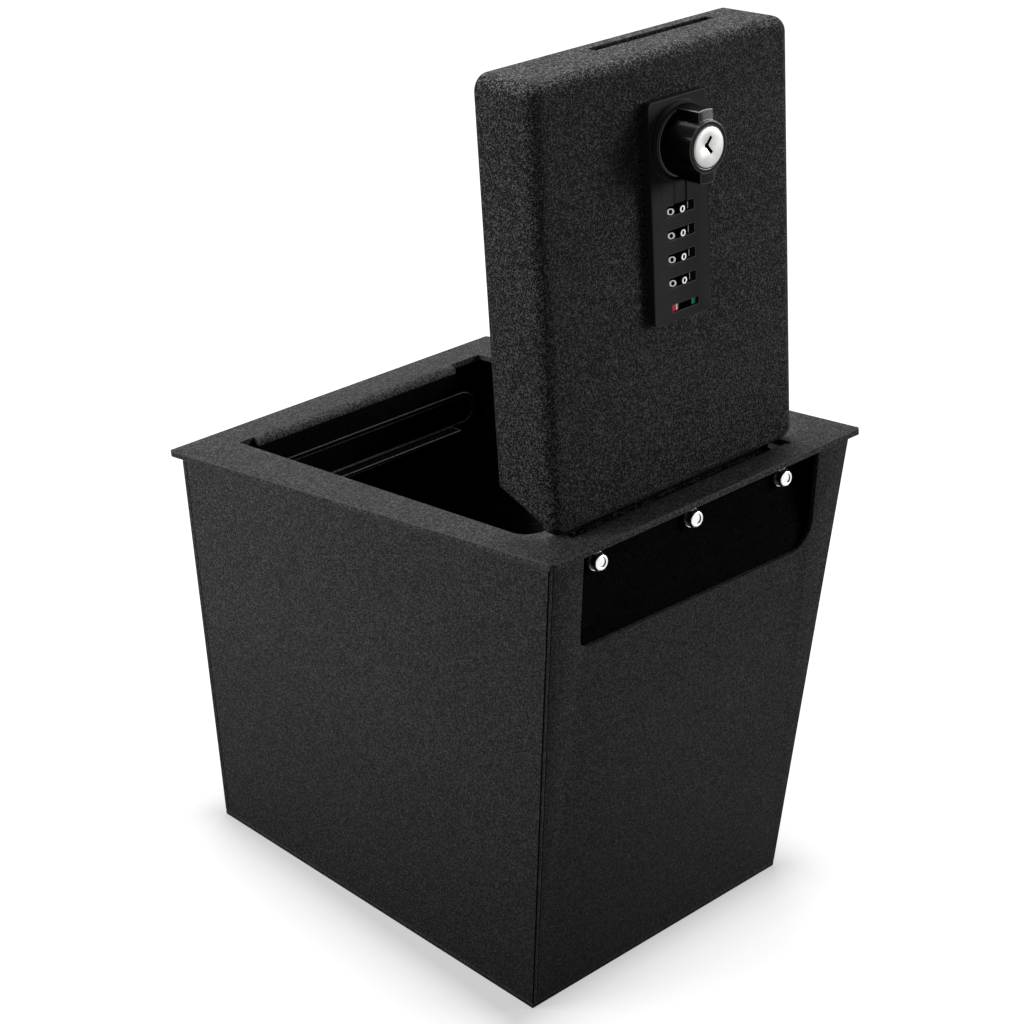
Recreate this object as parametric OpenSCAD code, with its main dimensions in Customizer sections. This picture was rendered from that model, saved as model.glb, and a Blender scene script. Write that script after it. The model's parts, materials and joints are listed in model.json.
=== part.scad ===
// Vehicle console safe: a tapered box of welded sheet steel with a sloping rim, a hinged
// pan lid shown open, and a lock with four dials, a turning knob and a key override.
// Millimetres. X runs along the hinge side, Y from the hinge to the latch side, +Z up.

/* [Box] */
// Width of the base along the hinge side
base_width = 185; // [160:1:210]
// Length of the base from the hinge side to the latch side
base_length = 249; // [225:1:280]
// Height of the rim's top at the hinge side
hinge_height = 265.7; // [230:0.1:300]
// Thickness of the wall sheet
wall = 3; // [2:0.5:4]
// Thickness of the floor plate
floor_thickness = 3; // [2:0.5:5]
// Outward lean of the hinge-side wall
near_lean = 2; // [0:0.1:4]
// Outward lean of the latch-side wall
far_lean = 4.7; // [2:0.1:7]
// Outward lean of the right wall
right_lean = 6.2; // [3:0.1:8]
// Turn of the left wall, which makes the box wider at the latch side
left_skew = 2.75; // [0:0.05:4]

/* [Console bolts] */
// Distance between the floor holes across the box
floor_hole_spacing_x = 110; // [80:1:140]
// Distance between the floor holes along the box
floor_hole_spacing_y = 170; // [140:1:200]
// Radius of the floor holes
floor_hole_radius = 4.5; // [3:0.25:6]

/* [Rim] */
// Slope of the rim down towards the latch side
rim_slope = 8; // [4:0.5:10]
// Thickness of the rim plate
rim_thickness = 3.5; // [2.5:0.25:4]
// Overhang of the rim past the hinge-side wall
near_overhang = 2; // [1:0.5:6]
// Overhang of the rim past the latch-side wall
far_overhang = 12; // [8:0.5:18]
// Overhang of the rim past the right wall
right_overhang = 6.8; // [3:0.2:12]
// Radius of the rim's outer corners
rim_corner_radius = 3; // [1:0.5:6]
// Distance from the rim's near left corner to the opening
left_flange = 17; // [14:0.5:24]
// Distance from the opening to the rim's right edge
right_flange = 27; // [20:0.5:32]
// Distance from the flat of the rim to its latch-side edge
far_flange = 23.6; // [20:0.2:30]
// Outer radius of the bends at the opening
bend_radius = 4.5; // [4.1:0.1:6]
// Depth of the latch-side lip below the rim's top
far_lip_depth = 42; // [40:0.5:50]
// Depth of the hinge-side lip below the rim's top
near_lip_depth = 34; // [31:0.5:42]
// Distance from the rim's near edge to the inner face of the hinge-side lip
near_lip_face = 20.5; // [18:0.25:24]
// Distance from the opening's left side to the latch-side lip
lip_left_inset = 10; // [6:0.5:14]
// Distance from the latch-side lip to the opening's right side
lip_right_inset = 22; // [16:0.5:26]
// Distance of the hinge, the keeper and the lock to the right of the opening's middle
fittings_offset = 1.3; // [0:0.1:2]

/* [Hinge-side cut-out] */
// Width of the cut-out
cutout_width = 167; // [140:1:175]
// Depth of the cut-out below the rim's underside
cutout_depth = 53; // [35:0.5:60]
// Fall of the cut-out's bottom edge from its left end to its right end
cutout_fall = 3.6; // [0:0.2:5]
// Radius of the cut-out's left bottom corner
cutout_left_radius = 6; // [2:0.5:10]
// Radius of the cut-out's right bottom corner
cutout_right_radius = 16; // [4:0.5:20]
// Thickness of the baffle behind the cut-out
baffle_thickness = 2; // [1.5:0.25:3]

/* [Lid] */
// Depth of the lid's side flanges
lid_depth = 38.4; // [35:0.2:39]
// Thickness of the lid sheet
lid_sheet = 2; // [1.5:0.25:2.5]
// Height of the closed lid's face above the rim
lid_proud = 4; // [3:0.25:5]
// Gap between the closed lid and the opening's sides
side_gap = 3; // [2.5:0.1:6]
// Gap between the closed lid and the opening's hinge side
near_gap = 4.6; // [4.4:0.1:7]
// Gap between the closed lid and the latch-side lip
far_gap = 6.8; // [5:0.1:8]
// Radius of the lid's folded edges
lid_edge_radius = 7; // [5:0.25:7.5]
// Radius of the lid's corners, seen from above
lid_corner_radius = 8; // [7.75:0.25:12]
// Depth of the short flange on the hinge side
hinge_flange_depth = 9; // [8.75:0.05:9.5]
// Length of the slanted cut at the hinge end of each side flange
side_relief = 18.6; // [12:0.2:26]
// Angle of the lid from closed, as it stands open
open_angle = 93.1; // [0:0.1:94]

/* [Hinge] */
// Length of the hinge
hinge_length = 150; // [140:1:160]
// Number of knuckles
knuckle_count = 9; // [5:2:15]
// Outer radius of the knuckles
knuckle_radius = 3.2; // [3:0.1:3.5]
// Thickness of the hinge leaves
leaf_thickness = 1.8; // [1.5:0.1:2]
// Radius of the hinge pin
pin_radius = 1.5; // [1:0.1:1.8]
// Distance of the pin from the hinge-side lip
hinge_reach = 10.5; // [9.5:0.1:12]
// Depth of the pin below the rim's top
hinge_drop = 7.8; // [7.5:0.1:8.2]
// Distance from the pin to the closed lid
hinge_setback = 8.5; // [8.4:0.1:10]
// Width of the lid leaf's seat under the lid
leaf_pad_width = 19; // [12:1:30]
// Distance between the hinge bolts
hinge_bolt_spacing = 66; // [50:0.5:68]
// Depth of the hinge bolts below the rim's top
hinge_bolt_drop = 15; // [14.9:0.1:20]
// Radius of the hinge bolts
hinge_bolt_radius = 2.5; // [2:0.25:2.75]

/* [Keeper] */
// Length of the keeper frame
keeper_length = 150; // [120:1:156]
// Depth of the keeper frame's top below the rim's top
keeper_top = 16.5; // [12:0.5:19]
// Height of the opening in the keeper frame
keeper_opening = 14.5; // [12:0.5:15]
// Width of the keeper frame's border
keeper_border = 3; // [2:0.25:4]
// Stand-off of the keeper frame from the lip
keeper_thickness = 2; // [1:0.25:2.5]
// Length of the shelf that stops the closed lid
stop_length = 110; // [60:5:120]
// Gap between the closed lid and its stop
stop_gap = 0.4; // [0.3:0.1:1]

/* [Lock plate] */
// Width of the lock plate
plate_width = 38.4; // [36:0.2:44]
// Thickness of the lock plate
plate_thickness = 4.5; // [4:0.25:6]
// Distance from the knob's axis to the plate's top end
plate_above = 21; // [19.6:0.2:26]
// Distance from the knob's axis to the plate's bottom end
plate_below = 87.2; // [86.2:0.2:95]
// Radius of the plate's corners
plate_corner_radius = 2.5; // [1:0.25:4]
// Distance from the knob's axis to the lid's free edge
lock_inset = 42.4; // [40:0.2:46]
// Depth of the groove between the knob and the dials
groove_depth = 0.6; // [0.3:0.1:1]
// Width of the groove between the knob and the dials
groove_width = 9; // [6:0.5:14]
// Height of the ring around the knob
ring_height = 2.9; // [1.5:0.1:3]
// Width of the ring around the knob
ring_width = 1.6; // [1:0.1:1.8]

/* [Dials] */
// Number of dials
dial_count = 4; // [4:1:4]
// Radius of a dial
dial_radius = 12.5; // [11:0.25:12.75]
// Width of a dial's rim
dial_width = 4.5; // [4:0.25:5.5]
// Distance between the dials
dial_pitch = 11.75; // [11:0.05:12]
// Distance from the knob's axis to the first dial
dial_drop = 32.4; // [30:0.2:33]
// Radius of the dials' axle
axle_radius = 2; // [1.5:0.1:2.5]
// Width of a dial window
window_width = 17.8; // [16:0.2:20]
// Depth of the dials below the plate's front
dial_recess = 0.4; // [0.2:0.1:1]
// Turn of the dials that centres a figure in the windows
dial_turn = 7.4; // [-18:0.2:18]

/* [Slide] */
// Distance from the knob's axis to the slide's window
slide_drop = 80.6; // [80:0.1:81.5]
// Height of the slide's window
slide_window = 3.6; // [3:0.2:4.6]
// Length of the slide
slide_length = 7.8; // [6:0.2:9]
// Distance of the slide's window to the right of the plate's middle
slide_shift = 1.5; // [0:0.1:2]

/* [Knob] */
// Radius of the knob's base
knob_base_radius = 17.1; // [15.5:0.1:17.2]
// Height of the knob's base
knob_base_height = 3; // [2.9:0.1:4]
// Radius of the knob's body
knob_body_radius = 12.25; // [12:0.25:15]
// Height of the knob above the lock plate
knob_height = 19; // [18:0.2:24]
// Distance from the knob's axis to the end of its wings
wing_reach = 17.5; // [16:0.5:19.5]
// Width of the knob's wings
wing_width = 9.4; // [7:0.2:12]
// Radius of the key plug's face
plug_face_radius = 9.75; // [9:0.25:11]
// Radius of the key plug's shaft
plug_radius = 6; // [5:0.25:6.5]
// Radius of the spindle
spindle_radius = 5; // [4:0.25:6]

/* [Cam] */
// Length of the cam from the spindle's axis
cam_length = 60; // [56:0.5:61]
// Width of the cam
cam_width = 28; // [18:1:30]
// Thickness of the cam
cam_thickness = 3; // [2:0.25:3.5]
// Depth of the cam's middle below the lid's face
cam_depth = 28.8; // [28.5:0.1:29.5]
// Reach of the lid's slot to the left of the knob's axis
slot_left = 21.4; // [18:0.2:24]
// Reach of the lid's slot to the right of the knob's axis
slot_right = 58.2; // [52:0.2:60]
// Height of the lid's slot
slot_height = 5.5; // [5:0.25:7]

/* [Hidden] */

$fn = 64;
reach = 700;
overcut = 1;
seam = 0.02;

// The pins and shafts turn in their bores with this radial clearance
running_clearance = 0.05;
// Pieces that are fastened through holes, or slide, have this clearance
loose_clearance = 0.25;
// Neighbouring knuckles, and pieces that move past each other, lie this far apart
moving_gap = 0.4;

// The rim's own frame starts at the rim's near edge: Y runs down the slope from that edge
// and Z stands square to the plate, with zero on its top.
slope_run = cos(rim_slope);
slope_fall = tan(rim_slope);
rim_near_y = -(hinge_height - rim_thickness) * tan(near_lean) - near_overhang;
rim_under_height = hinge_height - rim_thickness / slope_run;
far_wall_top_y = (base_length + (rim_under_height + rim_near_y * slope_fall) * tan(far_lean))
    / (1 + slope_fall * tan(far_lean));
rim_length = (far_wall_top_y + far_overhang - rim_near_y) / slope_run;
rim_right = base_width + (hinge_height - rim_thickness) * tan(right_lean) + right_overhang;
function rim_left_at(y) = -(rim_near_y + y * slope_run) * tan(left_skew);
rim_skew = atan(tan(left_skew) * slope_run);

// The part's origin lies at the base, under the middle of the rim
origin_x = (rim_left_at(rim_length) + rim_right) / 2;
origin_y = rim_near_y + (rim_length * slope_run - rim_thickness * sin(rim_slope)) / 2;

opening_left = rim_left_at(0) + left_flange;
opening_right = rim_right - right_flange;
centre_x = (opening_left + opening_right) / 2;
fittings_x = centre_x + fittings_offset;
pin_y = near_lip_face + hinge_reach;
lid_near = pin_y + hinge_setback;
opening_near = lid_near - near_gap;
far_flat = rim_length - far_flange;
far_lip_face = far_flat - bend_radius;
near_flat = near_lip_face - bend_radius;
lid_length = far_lip_face - far_gap - lid_near;
lid_width = opening_right - opening_left - 2 * side_gap;
opening_corner_radius = lid_corner_radius + side_gap;
lip_left = opening_left + lip_left_inset;
lip_right = opening_right - lip_right_inset;
hinge_left = fittings_x - hinge_length / 2;
hinge_notch_margin = 2;

knuckle_length = hinge_length / knuckle_count;
leaf_bottom = -near_lip_depth + 4;
leaf_shelf_bottom = -hinge_drop - knuckle_radius;
bolt_head_radius = hinge_bolt_radius + 1;
bolt_head_height = 3;
bolt_hole_radius = hinge_bolt_radius + loose_clearance;
washer_radius = hinge_bolt_radius * 2;
washer_thickness = 1;
nut_height = 3;
nut_radius = hinge_bolt_radius * 1.9;
nut_collar_radius = nut_radius * cos(30) - 0.02;
nut_collar_height = 1.3;
bolt_end = nut_height + nut_collar_height - 0.5;
bolt_head_face = near_lip_face + leaf_thickness;
washer_back = near_lip_face - rim_thickness - baffle_thickness;
nut_back = washer_back - washer_thickness;

keeper_height = keeper_opening + 2 * keeper_border;
keeper_middle = -keeper_top - keeper_height / 2;
stop_top = lid_proud - lid_depth - stop_gap;
stop_thickness = 2;
stop_reach = far_gap + 4;

lock_y = lid_length - lock_inset;
plate_skin = 1.5;
tongue_width = plate_width - 6.6;
housing_width = plate_width + 1.4;
housing_back = cam_depth - cam_thickness / 2 - 2.8;
housing_above = plate_above - 2.6;
housing_below = plate_below - 1;
dial_axis_z = plate_thickness - dial_recess - dial_radius;
dial_hub_radius = 5.4;
dial_hub_length = dial_pitch - dial_width - moving_gap;
dial_cavity_half = dial_radius + moving_gap;
dial_cavity_top = dial_width / 2 + moving_gap;
dial_last_end = (dial_count - 1) * dial_pitch + dial_width / 2 + dial_hub_length + moving_gap;
axle_seat = 3;
digit_count = 10;

slide_pocket_half = window_width / 2 + 0.3;
slide_foot_height = slide_window + 2.6;
slide_floor = plate_thickness - 1.6;
slide_lift = 0.35;
slide_foot_thickness = 0.4;
slide_foot_room = 0.9;
slide_recess = 0.4;
slide_mark_thickness = 0.3;
slide_mark_length = 3.4;
slide_mark_left = 0.2;
slide_mark_right = 0.6;
slide_offset = slide_shift + 0.5;
slide_window_left = slide_shift - window_width / 2;

knob_back = plate_thickness + moving_gap;
knob_top = plate_thickness + knob_height;
ring_gap = 0.3;
ring_inside = knob_base_radius + ring_gap;
wing_bottom = knob_back + knob_base_height;
plug_gap = 0.3;
plug_face_thickness = 2;
plug_face_back = knob_top - plug_face_thickness + 0.6;
plug_shaft_bottom = knob_back + 6;
barrel_radius = plug_face_radius - 1.75;
barrel_bottom = knob_back + 4;
spindle_top = barrel_bottom - 0.2;
spindle_square = spindle_radius * 1.4;
cam_top = -cam_depth + cam_thickness / 2;
cam_hub_radius = cam_width / 2;
thread_radius = 3;
cam_nut_height = 3.2;
spindle_end = -cam_depth - cam_thickness / 2 - cam_nut_height - 0.6;

screw_radius = 1.3;
screw_head_radius = 2.6;
screw_head_height = 1.6;
screw_inset_x = 2.4;
screw_inset_y = 3.4;

// Sides of the box as half spaces, each moved inward by a depth
module inside_near(depth) {
    rotate([near_lean, 0, 0])
        translate([-reach, depth, -reach])
            cube(2 * reach);
}

module inside_far(depth) {
    translate([0, base_length, 0])
        rotate([-far_lean, 0, 0])
            translate([-reach, -2 * reach - depth, -reach])
                cube(2 * reach);
}

module inside_left(depth) {
    rotate([0, 0, left_skew])
        translate([depth, -reach, -reach])
            cube(2 * reach);
}

module inside_right(depth) {
    translate([base_width, 0, 0])
        rotate([0, right_lean, 0])
            translate([-2 * reach - depth, -reach, -reach])
                cube(2 * reach);
}

module above(height) {
    translate([-reach, -reach, height])
        cube(2 * reach);
}

module below_rim() {
    in_rim()
        translate([-reach, -reach, -2 * reach - rim_thickness])
            cube(2 * reach);
}

// Frames
module placed() {
    translate([-origin_x, -origin_y, 0])
        children();
}

module in_rim() {
    translate([0, rim_near_y, hinge_height])
        rotate([-rim_slope, 0, 0])
            children();
}

module swung() {
    in_rim()
        translate([0, pin_y, -hinge_drop])
            rotate([open_angle, 0, 0])
                translate([0, -pin_y, hinge_drop])
                    children();
}

// On the lid, X is measured from its middle, Y from its hinge edge and Z out of its face
module on_lid() {
    swung()
        translate([centre_x, lid_near, lid_proud])
            children();
}

module at_knob() {
    on_lid()
        translate([fittings_offset, lock_y, 0])
            children();
}

// Helper shapes
module along_x(length) {
    rotate([90, 0, 90])
        linear_extrude(length)
            children();
}

module rod_x(radius, length) {
    rotate([0, 90, 0])
        cylinder(r = radius, h = length);
}

module rod_y(radius, length) {
    rotate([-90, 0, 0])
        cylinder(r = radius, h = length);
}

module rounded_rectangle(width, length, radius) {
    translate([-width / 2, radius])
        square([width, length - 2 * radius]);
    translate([radius - width / 2, 0])
        square([width - 2 * radius, length]);
    for (x = [radius - width / 2, width / 2 - radius], y = [radius, length - radius])
        translate([x, y])
            circle(radius);
}

module racetrack(length, height) {
    straight = length - height;
    translate([-straight / 2, -height / 2])
        square([straight, height]);
    for (side = [-1, 1])
        translate([side * straight / 2, 0])
            circle(height / 2);
}

module quarter_bend(outer_radius, thickness) {
    intersection() {
        difference() {
            circle(outer_radius);
            circle(outer_radius - thickness);
        }
        square(outer_radius + overcut);
    }
}

// Box
module cutout_shape() {
    half = cutout_width / 2;
    top = cutout_depth + wall;
    angle = atan(cutout_fall / cutout_width);
    left_x = cutout_left_radius - half;
    right_x = half - cutout_right_radius;
    left = [left_x, cutout_left_radius / cos(angle) - (left_x + half) * tan(angle)];
    right = [right_x, cutout_right_radius / cos(angle) - (right_x + half) * tan(angle)];
    downward = [-sin(angle), -cos(angle)];
    translate(left)
        circle(cutout_left_radius);
    translate(right)
        circle(cutout_right_radius);
    polygon([
        [-half, top],
        [-half, left[1]],
        left + (cutout_left_radius - seam) * downward,
        right + (cutout_right_radius - seam) * downward,
        [half, right[1]],
        [half, top]
    ]);
}

module near_wall() {
    color("#3b3c40")
        placed()
            difference() {
                intersection() {
                    inside_near(0);
                    inside_left(wall);
                    inside_right(0);
                    above(floor_thickness);
                    below_rim();
                }
                inside_near(wall);
                translate([fittings_x, reach / 10, hinge_height - rim_thickness - cutout_depth])
                    rotate([90, 0, 0])
                        linear_extrude(reach / 5)
                            cutout_shape();
            }
}

module far_wall() {
    color("#3b3c40")
        placed()
            difference() {
                intersection() {
                    inside_far(0);
                    inside_left(0);
                    inside_right(0);
                    above(floor_thickness);
                    below_rim();
                }
                inside_far(wall);
            }
}

module left_wall() {
    color("#46474b")
        placed()
            difference() {
                intersection() {
                    inside_left(0);
                    inside_near(0);
                    inside_far(wall);
                    above(floor_thickness);
                    below_rim();
                }
                inside_left(wall);
            }
}

module right_wall() {
    color("#3b3c40")
        placed()
            difference() {
                intersection() {
                    inside_right(0);
                    inside_near(wall);
                    inside_far(wall);
                    above(floor_thickness);
                    below_rim();
                }
                inside_right(wall);
            }
}

module floor_plate() {
    color("#3b3c40")
        placed()
            difference() {
                intersection() {
                    inside_near(0);
                    inside_far(0);
                    inside_left(0);
                    inside_right(0);
                    above(0);
                    translate([-reach, -reach, floor_thickness - 2 * reach])
                        cube(2 * reach);
                }
                for (x = [-1, 1], y = [-1, 1])
                    translate([
                        base_width / 2 + x * floor_hole_spacing_x / 2,
                        base_length / 2 + y * floor_hole_spacing_y / 2,
                        -overcut
                    ])
                        cylinder(r = floor_hole_radius, h = floor_thickness + 2 * overcut);
            }
}

// Rim
module rim_outline() {
    radius = rim_corner_radius;
    shift = radius / cos(rim_skew);
    slip = radius * tan(rim_skew);
    near_left = [rim_left_at(0) - slip + shift, radius];
    far_left = [rim_left_at(rim_length) + slip + shift, rim_length - radius];
    near_right = [rim_right - radius, radius];
    far_right = [rim_right - radius, rim_length - radius];
    inward = (seam - radius) * [cos(rim_skew), sin(rim_skew)];
    for (corner = [near_left, far_left, near_right, far_right])
        translate(corner)
            circle(radius);
    polygon([
        near_left + [0, -radius],
        near_right + [0, -radius],
        near_right + [radius, 0],
        far_right + [radius, 0],
        far_right + [0, radius],
        far_left + [0, radius],
        far_left + inward,
        near_left + inward
    ]);
}

module opening_outline() {
    radius = opening_corner_radius;
    width = opening_right - opening_left;
    translate([opening_left + radius, opening_near])
        square([width - 2 * radius, radius + overcut]);
    translate([opening_left, opening_near + radius])
        square([width, far_flat - opening_near - radius]);
    for (x = [opening_left + radius, opening_right - radius])
        translate([x, opening_near + radius])
            circle(radius);
    translate([hinge_left - hinge_notch_margin, near_flat])
        square([hinge_length + 2 * hinge_notch_margin, opening_near - near_flat + overcut]);
}

module far_lip_profile() {
    translate([far_flat, -bend_radius])
        mirror([1, 0])
            quarter_bend(bend_radius, rim_thickness);
    translate([far_lip_face, -far_lip_depth])
        square([rim_thickness, far_lip_depth - bend_radius]);
}

module near_lip_profile() {
    translate([near_flat, -bend_radius])
        quarter_bend(bend_radius, rim_thickness);
    translate([near_lip_face - rim_thickness, -near_lip_depth])
        square([rim_thickness, near_lip_depth - bend_radius]);
}

module hinge_bolt_places() {
    for (place = [-1, 0, 1])
        translate([fittings_x + place * hinge_bolt_spacing, 0, -hinge_bolt_drop])
            children();
}

module cam_slot(margin) {
    translate([
        fittings_x - slot_left - margin,
        far_lip_face - overcut,
        keeper_middle - keeper_opening / 2
    ])
        cube([slot_left + slot_right + 2 * margin, rim_thickness + 2 * overcut, keeper_opening]);
}

module rim_plate() {
    color("#55565a")
        placed()
            in_rim()
                difference() {
                    union() {
                        translate([0, 0, -rim_thickness])
                            linear_extrude(rim_thickness)
                                difference() {
                                    rim_outline();
                                    opening_outline();
                                }
                        translate([lip_left, 0, 0])
                            along_x(lip_right - lip_left)
                                far_lip_profile();
                        translate([hinge_left, 0, 0])
                            along_x(hinge_length)
                                near_lip_profile();
                    }
                    hinge_bolt_places()
                        rod_y(bolt_hole_radius, near_lip_face + overcut);
                    cam_slot(-4);
                }
}

module hinge_baffle() {
    color("#1f2022")
        placed()
            intersection() {
                in_rim()
                    difference() {
                        translate([-reach, washer_back, -reach - bend_radius])
                            cube([2 * reach, baffle_thickness, reach]);
                        hinge_bolt_places()
                            rod_y(bolt_hole_radius, near_lip_face);
                    }
                inside_near(wall);
                inside_left(wall);
                inside_right(wall);
            }
}

module keeper_frame() {
    color("#2c2d30")
        placed()
            in_rim() {
                translate([fittings_x, far_lip_face, keeper_middle])
                    rotate([90, 0, 0])
                        linear_extrude(keeper_thickness)
                            difference() {
                                racetrack(keeper_length, keeper_height);
                                racetrack(keeper_length - 2 * keeper_border, keeper_opening);
                            }
                translate([
                    fittings_x - stop_length / 2,
                    far_lip_face - stop_reach,
                    stop_top - stop_thickness
                ])
                    cube([stop_length, stop_reach, stop_thickness]);
            }
}

// Hinge
module knuckles(first, length_change) {
    for (i = [first : 2 : knuckle_count - 1])
        translate([hinge_left + i * knuckle_length - length_change / 2, 0, 0])
            children();
}

module knuckle_row(first) {
    knuckles(first, -moving_gap)
        rod_x(knuckle_radius, knuckle_length - moving_gap);
}

module knuckle_room(first, y) {
    size = knuckle_radius + moving_gap;
    knuckles(first, moving_gap)
        translate([0, y, -size])
            cube([knuckle_length + moving_gap, size, 2 * size]);
}

module pin_bore() {
    translate([hinge_left - overcut, 0, 0])
        rod_x(pin_radius + running_clearance, hinge_length + 2 * overcut);
}

module hinge_body_leaf() {
    shelf_top = leaf_shelf_bottom + leaf_thickness;
    color("#2b2c2e")
        placed()
            in_rim()
                difference() {
                    union() {
                        translate([hinge_left, near_lip_face, leaf_bottom])
                            cube([hinge_length, leaf_thickness, shelf_top - leaf_bottom]);
                        translate([0, pin_y, -hinge_drop])
                            difference() {
                                union() {
                                    translate([
                                        hinge_left,
                                        -hinge_reach,
                                        -knuckle_radius
                                    ])
                                        cube([hinge_length, hinge_reach, leaf_thickness]);
                                    knuckle_row(0);
                                }
                                knuckle_room(1, -knuckle_radius - moving_gap);
                                pin_bore();
                            }
                    }
                    hinge_bolt_places()
                        rod_y(bolt_hole_radius, pin_y);
                }
}

module hinge_lid_leaf() {
    seat = lid_near + lid_edge_radius + 0.2;
    under_lid = lid_proud - lid_sheet;
    color("#2b2c2e")
        placed()
            swung() {
                translate([0, pin_y, -hinge_drop])
                    difference() {
                        union() {
                            translate([hinge_left, 0, -leaf_thickness / 2])
                                cube([
                                    hinge_length,
                                    seat + leaf_thickness - pin_y,
                                    leaf_thickness
                                ]);
                            knuckle_row(1);
                        }
                        knuckle_room(0, 0);
                        pin_bore();
                    }
                translate([hinge_left, seat, -hinge_drop - leaf_thickness / 2])
                    cube([
                        hinge_length,
                        leaf_thickness,
                        under_lid + hinge_drop + leaf_thickness / 2
                    ]);
                translate([hinge_left, seat, under_lid - leaf_thickness])
                    cube([hinge_length, leaf_pad_width, leaf_thickness]);
            }
}

module hinge_pin() {
    head = 0.8;
    color("#8d8f92")
        placed()
            in_rim()
                translate([hinge_left, pin_y, -hinge_drop]) {
                    translate([-head, 0, 0])
                        rod_x(pin_radius, hinge_length + 2 * head);
                    for (x = [-head, hinge_length])
                        translate([x, 0, 0])
                            rod_x(pin_radius + 0.7, head);
                }
}

module hinge_bolts() {
    color("#c9cbce")
        placed()
            in_rim()
                hinge_bolt_places() {
                    translate([0, nut_back - bolt_end, 0])
                        rod_y(hinge_bolt_radius, bolt_head_face - nut_back + bolt_end);
                    translate([0, bolt_head_face, 0])
                        rod_y(bolt_head_radius, bolt_head_height);
                }
}

module hinge_washers() {
    color("#c9cbce")
        placed()
            in_rim()
                hinge_bolt_places()
                    translate([0, nut_back, 0])
                        difference() {
                            rod_y(washer_radius, washer_thickness);
                            translate([0, -overcut, 0])
                                rod_y(bolt_hole_radius, washer_thickness + 2 * overcut);
                        }
}

module lock_nut() {
    lead = 0.5;
    difference() {
        union() {
            cylinder(r = nut_radius, h = nut_height, $fn = 6);
            translate([0, 0, nut_height])
                rotate_extrude()
                    polygon([
                        [0, -overcut],
                        [nut_collar_radius, -overcut],
                        [nut_collar_radius, nut_collar_height - lead],
                        [nut_collar_radius - lead, nut_collar_height],
                        [0, nut_collar_height]
                    ]);
        }
        translate([0, 0, -overcut])
            cylinder(
                r = hinge_bolt_radius + running_clearance,
                h = nut_height + nut_collar_height + 2 * overcut
            );
    }
}

module hinge_nuts() {
    color("#dfe1e3")
        placed()
            in_rim()
                hinge_bolt_places()
                    translate([0, nut_back, 0])
                        rotate([90, 0, 0])
                            lock_nut();
}

// Lid
module edge_profile(edge, corner, depth) {
    translate([0, -depth])
        square([corner, depth - edge]);
    translate([0, -edge - overcut])
        square([corner - edge, edge + overcut]);
    translate([corner - edge, -edge])
        circle(edge);
}

module folded_block(width, length, depth, edge, corner) {
    for (x = [corner - width / 2, width / 2 - corner], y = [corner, length - corner])
        translate([x, y, 0])
            rotate_extrude()
                intersection() {
                    edge_profile(edge, corner, depth);
                    translate([0, -depth])
                        square([corner, depth]);
                }
    for (side = [0, 1])
        translate([0, side * length, 0])
            mirror([0, side, 0])
                translate([corner - width / 2, corner, 0])
                    rotate([90, 0, 90])
                        linear_extrude(width - 2 * corner)
                            mirror([1, 0])
                                edge_profile(edge, corner, depth);
    for (side = [0, 1])
        mirror([side, 0, 0])
            translate([width / 2 - corner, length - corner, 0])
                rotate([90, 0, 0])
                    linear_extrude(length - 2 * corner)
                        edge_profile(edge, corner, depth);
    for (inset = [[edge, corner], [corner, edge]])
        translate([inset[0] - width / 2, inset[1], -depth])
            cube([width - 2 * inset[0], length - 2 * inset[1], depth]);
}

module hinge_end_relief() {
    rotate([90, 0, 90])
        translate([0, 0, -lid_width / 2 - overcut])
            linear_extrude(lid_width + 2 * overcut)
                polygon([
                    [-overcut, -hinge_flange_depth],
                    [lid_edge_radius, -hinge_flange_depth],
                    [side_relief, -lid_depth],
                    [side_relief, -lid_depth - overcut],
                    [-overcut, -lid_depth - overcut]
                ]);
}

module lid_pan() {
    color("#2e2f32")
        placed()
            on_lid()
                difference() {
                    folded_block(lid_width, lid_length, lid_depth, lid_edge_radius, lid_corner_radius);
                    translate([0, lid_sheet, -lid_sheet])
                        folded_block(
                            lid_width - 2 * lid_sheet,
                            lid_length - 2 * lid_sheet,
                            lid_depth,
                            lid_edge_radius - lid_sheet,
                            lid_corner_radius - lid_sheet
                        );
                    hinge_end_relief();
                    translate([
                        fittings_offset - slot_left,
                        lid_length - lid_sheet - overcut,
                        -cam_depth - slot_height / 2
                    ])
                        cube([slot_left + slot_right, lid_sheet + 2 * overcut, slot_height]);
                    translate([fittings_offset, lock_y, -lid_sheet - overcut])
                        linear_extrude(lid_sheet + 2 * overcut)
                            tongue_shape(0.2);
                }
}

// Lock
module tongue_shape(margin) {
    width = tongue_width + 2 * margin;
    bottom = -housing_below + 1;
    top = housing_above - 1;
    translate([-width / 2, bottom - margin])
        square([width, top - bottom + 2 * margin]);
}

module dial_places() {
    for (i = [0 : dial_count - 1])
        translate([0, -dial_drop - i * dial_pitch, 0])
            children();
}

module screw_places() {
    x = tongue_width / 2 - screw_inset_x;
    for (side = [-x, x], y = [housing_above - screw_inset_y, -housing_below + screw_inset_y])
        translate([side, y, 0])
            children();
}

module knob_ring() {
    round = ring_width / 2;
    rotate_extrude() {
        translate([ring_inside, plate_thickness - groove_depth - 0.4])
            square([ring_width, ring_height + groove_depth + 0.4 - round]);
        translate([ring_inside + round, plate_thickness + ring_height - round])
            circle(round);
    }
}

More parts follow.
